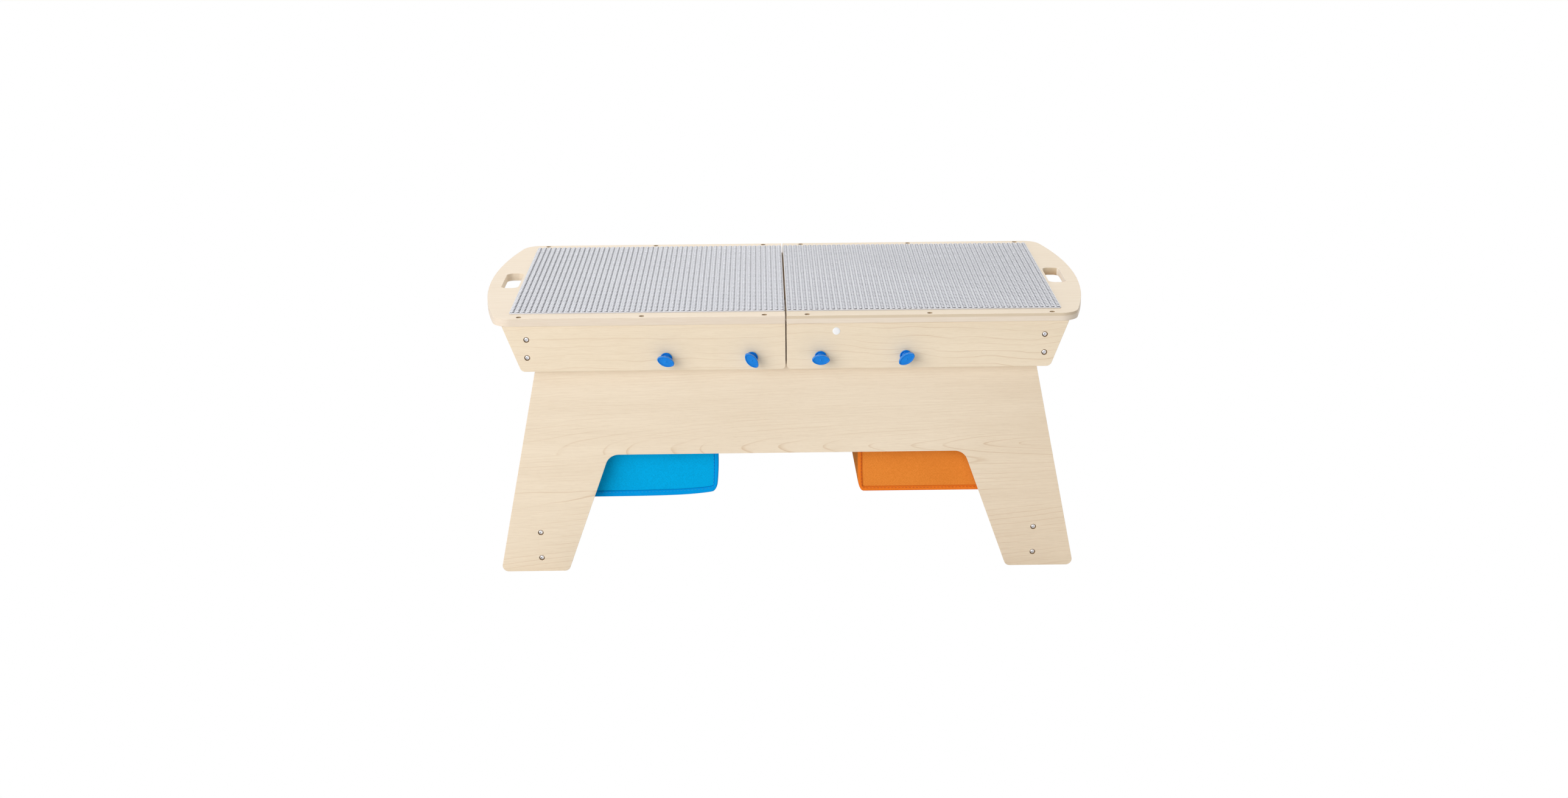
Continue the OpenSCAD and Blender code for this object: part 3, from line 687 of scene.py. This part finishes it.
def studs(side):
    """The relief of a plate: short studs with softened rims, one for each 8 mm square."""
    low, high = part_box(side + "_stud_plate")
    radius, count, sink = 2.5 * MM, 12, 0.2 * MM
    columns, rows = round((high.x - low.x) / PITCH), round((high.y - low.y) / PITCH)
    angles = (np.arange(count) + 0.5) * 2 * np.pi / count
    profile = [
        (radius, -sink), (radius, STUD_RISE - 0.32 * MM), (radius - 0.38 * MM, STUD_RISE)
    ]
    one = np.array([(r * math.cos(a), r * math.sin(a), z) for r, z in profile for a in angles])
    xs = low.x + (np.arange(columns) + 0.5) * PITCH
    ys = low.y + (np.arange(rows) + 0.5) * PITCH
    centres = np.array([(x, y, high.z - STUD_RISE) for x in xs for y in ys])
    vertices = (centres[:, None, :] + one[None, :, :]).reshape(-1, 3)
    wall = []
    for k in range(2):
        for i in range(count):
            j = (i + 1) % count
            wall.append([k * count + i, k * count + j, (k + 1) * count + j, (k + 1) * count + i])
    caps = [list(range(count))[::-1], [2 * count + i for i in range(count)]]
    loops = np.array([i for face in wall + caps for i in face])
    sizes = np.array([len(face) for face in wall + caps])
    number = len(centres)
    offsets = (np.arange(number) * len(one))[:, None]
    all_loops = (loops[None, :] + offsets).ravel()
    all_sizes = np.tile(sizes, number)
    mesh = bpy.data.meshes.new(side + "_studs")
    mesh.vertices.add(len(vertices))
    mesh.vertices.foreach_set("co", vertices.ravel())
    mesh.loops.add(len(all_loops))
    mesh.loops.foreach_set("vertex_index", all_loops)
    mesh.polygons.add(len(all_sizes))
    mesh.polygons.foreach_set("loop_start", np.concatenate([[0], np.cumsum(all_sizes)[:-1]]))
    mesh.update(calc_edges=True)
    mesh.validate()
    looks = [stud_looks[side]]
    piece_of(mesh, side + "_studs", side + "_top", looks, 50.0)


for side in SIDES:
    sheet(side)
    studs(side)


# ---- wing knobs ----


def lens_radius(angle, half_length, half_width, tip=12.9 * MM, softness=1.6 * MM):
    """Polar outline of a lens between two arcs, with its points rounded off by a circle."""
    arc = (half_length**2 + half_width**2) / (2 * half_width)
    offset = arc - half_width
    lens = -offset * abs(math.sin(angle)) + math.sqrt(arc**2 - (offset * math.cos(angle)) ** 2)
    gap = max(0.0, softness - abs(lens - tip)) / softness
    return min(lens, tip) - gap * gap * softness / 4


def knob(node, turn, face):
    """A wing knob: base disc, necked throat, and a lens-shaped grip with a sunken face. turn is the
    way its grip points at rest, in degrees."""
    low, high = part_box(node)
    pivot = next(j for j in frame["joints"] if j["child"] == node)["pos_m"]
    place = Vector((pivot[0], high.y if face == "front" else low.y, pivot[2]))
    outward = Vector((0, -1 if face == "front" else 1, 0))
    top, count = high.y - low.y, 64

    def ring(height, inset, shape):
        """shape runs from 0, a circle whose radius is inset, to 1, the lens drawn in by inset."""
        points = []
        for i in range(count):
            a = 2 * math.pi * i / count
            if shape == 0:
                r = inset
            else:
                full = lens_radius(a, 14 * MM, 7.2 * MM)
                r = (1 - shape) * 5.5 * MM + shape * (full - inset)
            points.append((r * math.cos(a), r * math.sin(a), height))
        return points

    rings = [
        ring(0.0, 8.4 * MM, 0), ring(0.35 * MM, 8.8 * MM, 0), ring(0.9 * MM, 9.0 * MM, 0),
        ring(2.4 * MM, 9.0 * MM, 0), ring(2.9 * MM, 8.8 * MM, 0), ring(3.1 * MM, 8.4 * MM, 0),
        ring(2.9 * MM, 8.0 * MM, 0), ring(1.6 * MM, 7.5 * MM, 0), ring(1.5 * MM, 5.2 * MM, 0),
        ring(2.2 * MM, 4.5 * MM, 0), ring(6.2 * MM, 4.3 * MM, 0),
        ring(7.8 * MM, 0.9 * MM, 0.35), ring(8.7 * MM, 0.9 * MM, 0.72),
        ring(9.6 * MM, 0.7 * MM, 0.93), ring(10.8 * MM, 0.3 * MM, 1),
        ring(13.0 * MM, 0.05 * MM, 1),
        ring(top - 1.3 * MM, 0.0, 1), ring(top - 0.6 * MM, 0.15 * MM, 1),
        ring(top - 0.15 * MM, 0.55 * MM, 1), ring(top, 1.0 * MM, 1),
        ring(top - 0.1 * MM, 1.35 * MM, 1), ring(top - 0.9 * MM, 1.65 * MM, 1),
        ring(top - 1.1 * MM, 2.1 * MM, 1), ring(top - 1.15 * MM, 3.6 * MM, 1),
        ring(top - 1.15 * MM, 1.3 * MM, 0), ring(top - 1.1 * MM, 1.0 * MM, 0),
        ring(top - 0.7 * MM, 0.75 * MM, 0), ring(top - 0.6 * MM, 0.4 * MM, 0),
    ]
    shape = Shape()
    shape.loft(rings, matrix=outward_matrix(place, outward, math.radians(turn)))
    shape.piece(node + "_look", node, [knob_plastic], 55.0, (node,), "knob_plastic")


# Where each knob's grip points. The front ones follow the photograph.
TURNS = {
    "left_front_outer": -20, "left_front_inner": -48, "right_front_inner": 0,
    "right_front_outer": 32, "left_back_outer": 15, "left_back_inner": -35,
    "right_back_inner": 50, "right_back_outer": -10,
}
for name, turn in TURNS.items():
    knob(name + "_knob", turn, name.split("_")[1])


# ---- sticker ----


def sticker():
    """A blank round sticker that follows the apron's face."""
    low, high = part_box("sticker")
    place = Vector(((low.x + high.x) / 2, high.y, (low.z + high.z) / 2))
    radius, depth = (high.x - low.x) / 2, high.y - low.y
    shape = Shape()
    rings = [
        circle(radius, 0.0, 48), circle(radius, 0.6 * depth, 48),
        circle(radius - 0.15 * MM, depth, 48), circle(0.5 * radius, depth, 48),
    ]
    shape.loft(rings, matrix=outward_matrix(place, Vector((0, -1, 0))))
    shape.piece("sticker_look", "right_top", [vinyl], 40.0, ("sticker",), "sticker_vinyl")


sticker()


# ---- cloth bins ----


def plan_loop(long_count=44, short_count=30, corner_count=7):
    """Samples of a rounded rectangle: where each lies along X and Y, and the way it faces."""
    samples = []
    spans = [((1, -1), (1, 1), short_count), ((1, 1), (-1, 1), long_count)]
    spans += [((-1, 1), (-1, -1), short_count), ((-1, -1), (1, -1), long_count)]
    for number, (start, end, count) in enumerate(spans):
        facing = number * math.pi / 2
        for i in range(count):
            t = i / (count - 1)
            x = start[0] + (end[0] - start[0]) * t
            y = start[1] + (end[1] - start[1]) * t
            samples.append((x, y, facing))
        for i in range(1, corner_count):
            samples.append((end[0], end[1], facing + math.pi / 2 * i / corner_count))
    return samples


LOOP = plan_loop()


class Bag:
    """A soft open bag under a bin's frame. u runs inward from its outer side, v to the back.

    drop is how far it hangs below its CAD solid. rise and corner lift its bottom edge at the inner
    corners, draft draws its inner end in towards the bottom, and pull both ends towards the back.
    widths are those of the binding beside and below a panel, and the stitches' distance from the
    edge."""

    def __init__(self, side, drop, rise, corner, draft, pull, widths, cloths):
        self.side, self.cloths, self.widths, self.pull = side, cloths, widths, pull
        low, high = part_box(side + "_bin_bag")
        self.length, self.half = high.x - low.x, high.y
        self.low, self.high = low.z - drop, high.z
        self.outer = low.x if side == "left" else high.x
        self.inward = 1 if side == "left" else -1
        self.rise, self.corner, self.draft = rise, corner, draft

    def lift(self, u, v):
        """How far the bottom edge rises towards the inner corners."""
        gap = max(0.0, self.length - u)
        wide, tall = self.corner
        curve = tall * (1 - math.sqrt(1 - max(0.0, 1 - gap / wide) ** 2))
        edge = min(v + self.half, self.half - v)
        front = math.exp(-max(0.0, edge) / (22 * MM))
        return (curve + self.rise * math.exp(-gap / (37 * MM))) * (0.2 + 0.8 * front)

    def point(self, u, v, height):
        """A point of the hanging cloth, with its sag, pull, taper, ripples and belly. height runs
        from 0 at the bottom edge to 1 at the rim."""
        back = min(1.0, max(0.0, (v + self.half) / (2 * self.half)))
        across = min(1.0, max(0.0, u / self.length))
        inner = max(0.0, across - 0.6) / 0.4
        outer = max(0.0, 0.4 - across) / 0.4
        slack = math.sin(math.pi * min(1.0, max(0.0, height))) ** 0.8
        z = (self.high - self.low) * height
        sag = 4.5 * MM * math.sin(math.pi * back) * slack
        narrow = self.pull * math.sin(math.pi * back / 2) * max(0.0, 1 - 1.5 * height)
        taper = self.draft * max(0.0, 1 - z / (48 * MM)) ** 2
        crease = math.sin(8.2 * across + 31 * v + 4.5 * height) * math.sin(6.5 * height - 19 * v)
        ripple = 1.3 * MM * crease * math.sin(math.pi * back) * slack
        shift = (max(0.0, narrow) + sag + ripple) * outer - (narrow + sag + taper - ripple) * inner
        belly = 1.6 * MM * math.sin(math.pi * across) * slack
        depth = v + belly * (1 if back > 0.5 else -1) * min(1.0, abs(back - 0.5) * 2.5)
        foot = self.low + self.lift(u, v)
        up = foot + (self.high - foot) * height
        return Vector((self.outer + self.inward * (u + shift), depth, up))

    def ring(self, height, inset, spread=1.0, lift=0.0):
        """One closed ring round the bag, drawn in by inset, at a share of its full plan."""
        bend = 6 * MM
        points = []
        for x, y, facing in LOOP:
            u = x * (self.length / 2 - bend) + (bend - inset) * math.cos(facing)
            v = y * (self.half - bend) + (bend - inset) * math.sin(facing)
            p = self.point(self.length / 2 + u * spread, v * spread, height)
            p.z += lift
            points.append(p)
        return points

    def build(self):
        wall, hem = 1.4 * MM, 0.6 * MM
        # Each section is what ring() takes: height, inset, spread and lift. They run from the
        # middle of the underside up the outside, over the hem, and down the inside.
        outside = [
            (0.0, 0, 0.03, 0.6 * MM), (0.0, 0, 0.35, 0.5 * MM), (0.0, 0, 0.7, 0.3 * MM),
            (0.0, 12 * MM, 1, 0.15 * MM), (0.0, 6 * MM, 1, 0.35 * MM),
            (0.005, 2.4 * MM, 1, 0.7 * MM), (0.02, 0.6 * MM, 1, 0.4 * MM),
        ]
        outside += [(0.045 + 0.855 * i / 16, 0, 1, 0.0) for i in range(17)]
        outside += [
            (0.905, -0.5 * MM, 1, 0), (0.95, -hem, 1, 0), (0.985, -hem, 1, 0),
            (0.998, -0.2 * MM, 1, 0),
        ]
        inside = [(0.998, wall, 1, 0), (0.985, wall + hem, 1, 0), (0.905, wall + hem, 1, 0)]
        inside += [(0.9 - 0.84 * i / 12, wall, 1, 0.0) for i in range(13)]
        inside += [
            (0.03, wall + 1.2 * MM, 1, 1.0 * MM), (0.015, 6 * MM, 1, 1.6 * MM),
            (0.0, 12 * MM, 1, 1.9 * MM), (0.0, wall, 0.7, 2.0 * MM),
            (0.0, wall, 0.35, 2.1 * MM), (0.0, wall, 0.03, 2.2 * MM),
        ]
        shape = Shape()
        shape.loft([self.ring(*section) for section in outside + inside])
        if self.inward < 0:
            shape.faces = [face[::-1] for face in shape.faces]
        node = self.side + "_bin_bag"
        body, slot = self.side + "_bin", ("blue" if self.side == "left" else "orange") + "_cloth"
        shape.piece(node + "_look", body, [self.cloths[0]], 60.0, (node,), slot)
        names = ("_bin_binding", "_bin_painted_fold_line", "_bin_stitches")
        for name, finish, made in zip(names, self.cloths[1:], self.trimmings()):
            made.piece(self.side + name, body, [finish], 70.0, (), slot)

    def outline(self, beside, below, step):
        """Evenly spaced points near the front panel's edge: down beside it, along it, and up."""
        top, bend = self.high - self.low - 2 * MM, 7 * MM
        r = max(bend - max(beside, below), 2 * MM)
        path = [(self.length - beside, top)]
        for i in range(11):
            a = math.pi / 2 * i / 10
            path.append((self.length - beside - r + r * math.cos(a), below + r - r * math.sin(a)))
        span = self.length - 2 * (beside + r)
        for i in range(1, 40):
            path.append((self.length - beside - r - span * i / 40, below))
        for i in range(11):
            a = math.pi / 2 * i / 10
            path.append((beside + r - r * math.sin(a), below + r - r * math.cos(a)))
        path.append((beside, top))
        points = np.array(path)
        steps = np.linalg.norm(np.diff(points, axis=0), axis=1)
        lengths = np.concatenate([[0], np.cumsum(steps)])
        places = np.arange(0, lengths[-1], step)
        us = np.interp(places, lengths, points[:, 0])
        return list(zip(us, np.interp(places, lengths, points[:, 1])))

    def on_panel(self, u, z, face, proud=0.0):
        """A point of the front or back panel, z above its bottom edge, standing proud of it."""
        p = self.point(u, face * self.half, z / (self.high - self.low))
        p.y += face * proud
        return p

    def tube(self, shape, face, edges, thick, sunk):
        """A flattened tube on a panel, between two lines of points along its edge."""
        count, rings = 12, []
        for outer, inner in zip(*edges):
            across = (outer - inner) / 2
            middle = (outer + inner) / 2
            ring = []
            for k in range(count):
                a = 2 * math.pi * k / count
                c, s = math.cos(a), math.sin(a)
                x = math.copysign(abs(c) ** 0.6, c)
                y = math.copysign(abs(s) ** 0.8, s) * thick - sunk
                ring.append(middle + across * x + Vector((0, face * y, 0)))
            rings.append(ring)
        if face * self.inward < 0:
            rings = [ring[::-1] for ring in rings]
        shape.loft(rings)

    def line(self, beside, below, face, count):
        """count points on a panel, along its edge at those distances."""
        points = self.outline(beside, below, 1 * MM)
        picks = np.linspace(0, len(points) - 1, count).round().astype(int)
        return [self.on_panel(*points[i], face) for i in picks]

    def trimmings(self):
        """The bound edge of the front and back panels, a thin tube of painted shade along its fold,
        and its stitches.
        """
        band, fold_shade, seam = Shape(), Shape(), Shape()
        beside, below, inset = self.widths
        for face in (-1, 1):
            outer = self.line(0.0, 0.0, face, 260)
            inner = self.line(beside, below, face, 260)
            self.tube(band, face, (outer, inner), 1.4 * MM, 0.3 * MM)
            # A thin tube of deeper-toned cloth along the binding's inner edge: painted shade of the
            # fold.
            fold = self.line(beside + 0.9 * MM, below + 0.9 * MM, face, 260)
            self.tube(fold_shade, face, (inner, fold), 0.5 * MM, 0.1 * MM)
            dashes = self.outline(inset, inset, 5.4 * MM)
            for (u, z), (u2, z2) in zip(dashes[1:-1], dashes[2:]):
                start = self.on_panel(u, z, face, 1.2 * MM)
                end = self.on_panel(u2, z2, face, 1.2 * MM)
                seam_dash(seam, start, start.lerp(end, 0.58), 0.4 * MM)
        return band, fold_shade, seam


def seam_dash(shape, start, end, radius):
    """One stitch: a short thread with rounded ends that dips into the cloth."""
    along = (end - start).normalized()
    side = Vector((0, 1, 0)).cross(along).normalized()
    up = along.cross(side)
    rings = []
    for t, r in ((0.0, 0.35), (0.12, 0.85), (0.5, 1.0), (0.88, 0.85), (1.0, 0.35)):
        middle = start.lerp(end, t)
        ring = []
        for k in range(6):
            a = math.pi / 3 * k
            ring.append(middle + (side * math.cos(a) + up * math.sin(a)) * radius * r)
        rings.append(ring)
    shape.loft(rings)


# In each bag's list the third finish is painted shade, for the thin line along the binding's fold.
blue = [
    cloth("blue_cloth", srgb(0, 186, 245), srgb(0, 153, 216), srgb(0, 148, 210)),
    cloth("blue_binding", srgb(0, 164, 238), srgb(0, 150, 228), srgb(0, 140, 218)),
    cloth("blue_fold_painted_shade", srgb(0, 138, 208), srgb(0, 128, 198), srgb(0, 120, 190)),
    mottled("blue_thread", srgb(30, 168, 228), srgb(16, 156, 218), (0.7, 0.9), 900.0),
]
orange = [
    cloth("orange_cloth", srgb(246, 152, 65), srgb(222, 124, 42), srgb(212, 114, 36)),
    cloth("orange_binding", srgb(244, 132, 44), srgb(234, 118, 34), srgb(224, 108, 30)),
    cloth("orange_fold_painted_shade", srgb(226, 120, 40), srgb(218, 112, 34), srgb(210, 106, 32)),
    mottled("orange_thread", srgb(206, 96, 30), srgb(192, 86, 24), (0.7, 0.9), 900.0),
]
Bag(
    "left", 2.5 * MM, 7.6 * MM, (9 * MM, 9 * MM), 2.5 * MM, 12 * MM,
    (6.6 * MM, 9 * MM, 7 * MM), blue,
).build()
Bag(
    "right", -1.8 * MM, 0.0, (8 * MM, 7.5 * MM), 1.5 * MM, -5 * MM,
    (6 * MM, 7 * MM, 5 * MM), orange,
).build()


# ---- stage, light and camera ----


def white_for_the_camera(tree, lit):
    """Mixes a lit shader with plain white light for camera rays, so that the ground stays white."""
    path = tree.nodes.new("ShaderNodeLightPath")
    glow = tree.nodes.new("ShaderNodeEmission")
    glow.inputs["Color"].default_value = (1, 1, 1, 1)
    mix = tree.nodes.new("ShaderNodeMixShader")
    tree.links.new(path.outputs["Is Camera Ray"], mix.inputs[0])
    tree.links.new(lit, mix.inputs[1])
    tree.links.new(glow.outputs[0], mix.inputs[2])
    return mix.outputs[0]


def floor():
    """A wide pale floor just below the feet."""
    f = Finish("pale_floor", Roughness=0.9)
    f.put("Base Color", (0.9, 0.9, 0.9, 1))
    out = next(n for n in f.tree.nodes if n.type == "OUTPUT_MATERIAL")
    f.tree.links.new(white_for_the_camera(f.tree, f.shader.outputs[0]), out.inputs[0])
    size, drop = 9.0, -0.3 * MM
    mesh = bpy.data.meshes.new("floor")
    mesh.from_pydata(
        [(-size, -size, drop), (size, -size, drop), (size, size, drop), (-size, size, drop)],
        [], [(0, 1, 2, 3)],
    )
    mesh.materials.append(f.material)
    made = bpy.data.objects.new("floor", mesh)
    bpy.context.scene.collection.objects.link(made)


def sky(light):
    """Soft light from all round, and plain white where the camera or a mirror looks past the
    table."""
    world = bpy.data.worlds.new("studio")
    bpy.context.scene.world = world
    world.use_nodes = True
    tree = world.node_tree
    tree.nodes.clear()
    path = tree.nodes.new("ShaderNodeLightPath")
    seen = path.outputs["Is Camera Ray"]
    for ray in ("Is Glossy Ray", "Is Transmission Ray"):
        either = tree.nodes.new("ShaderNodeMath")
        either.operation = "MAXIMUM"
        tree.links.new(seen, either.inputs[0])
        tree.links.new(path.outputs[ray], either.inputs[1])
        seen = either.outputs[0]
    soft = tree.nodes.new("ShaderNodeBackground")
    soft.inputs["Strength"].default_value = light
    white = tree.nodes.new("ShaderNodeBackground")
    for background in (soft, white):
        background.inputs["Color"].default_value = (1, 1, 1, 1)
    mix = tree.nodes.new("ShaderNodeMixShader")
    tree.links.new(seen, mix.inputs[0])
    tree.links.new(soft.outputs[0], mix.inputs[1])
    tree.links.new(white.outputs[0], mix.inputs[2])
    out = tree.nodes.new("ShaderNodeOutputWorld")
    tree.links.new(mix.outputs[0], out.inputs[0])


def lamp(name, place, target, size, power):
    """A round area lamp at a place that points at a target."""
    data = bpy.data.lights.new(name, "AREA")
    data.shape = "DISK"
    data.size = size
    data.energy = power
    made = bpy.data.objects.new(name, data)
    bpy.context.scene.collection.objects.link(made)
    made.location = place
    made.rotation_euler = (Vector(target) - Vector(place)).to_track_quat("-Z", "Y").to_euler()


def camera():
    """The camera that was fitted to the photograph's plates, corners and screws."""
    focal_px, photo_width_px, sensor_mm = 3200, 2576, 36.0
    yaw, pitch, roll = (math.radians(a) for a in (-0.664, -17.991, 0.462))
    turn = Matrix.Rotation(yaw, 3, "Z")
    turn = turn @ Matrix.Rotation(pitch, 3, "X") @ Matrix.Rotation(roll, 3, "Y")
    look = Matrix(((1, 0, 0), (0, 0, -1), (0, 1, 0)))
    data = bpy.data.cameras.new("camera")
    data.sensor_fit = "HORIZONTAL"
    data.sensor_width = sensor_mm
    data.lens = sensor_mm * focal_px / photo_width_px
    data.clip_start, data.clip_end = 0.1, 50.0
    made = bpy.data.objects.new("camera", data)
    bpy.context.scene.collection.objects.link(made)
    made.matrix_world = Matrix.Translation((-0.035, -2.931, 1.152)) @ (turn @ look).to_4x4()
    bpy.context.scene.camera = made


floor()
sky(0.3)
lamp("key", (-3.95, -4.6, 2.17), (0, 0, 0.3), 6.0, 284)
lamp("overhead", (-0.25, 0.4, 3.2), (0, 0, 0.4), 2.4, 50)
lamp("fill", (3.4, 3.6, 2.4), (0, 0, 0.3), 4.0, 78)
camera()
bpy.context.scene.view_settings.view_transform = "Standard"
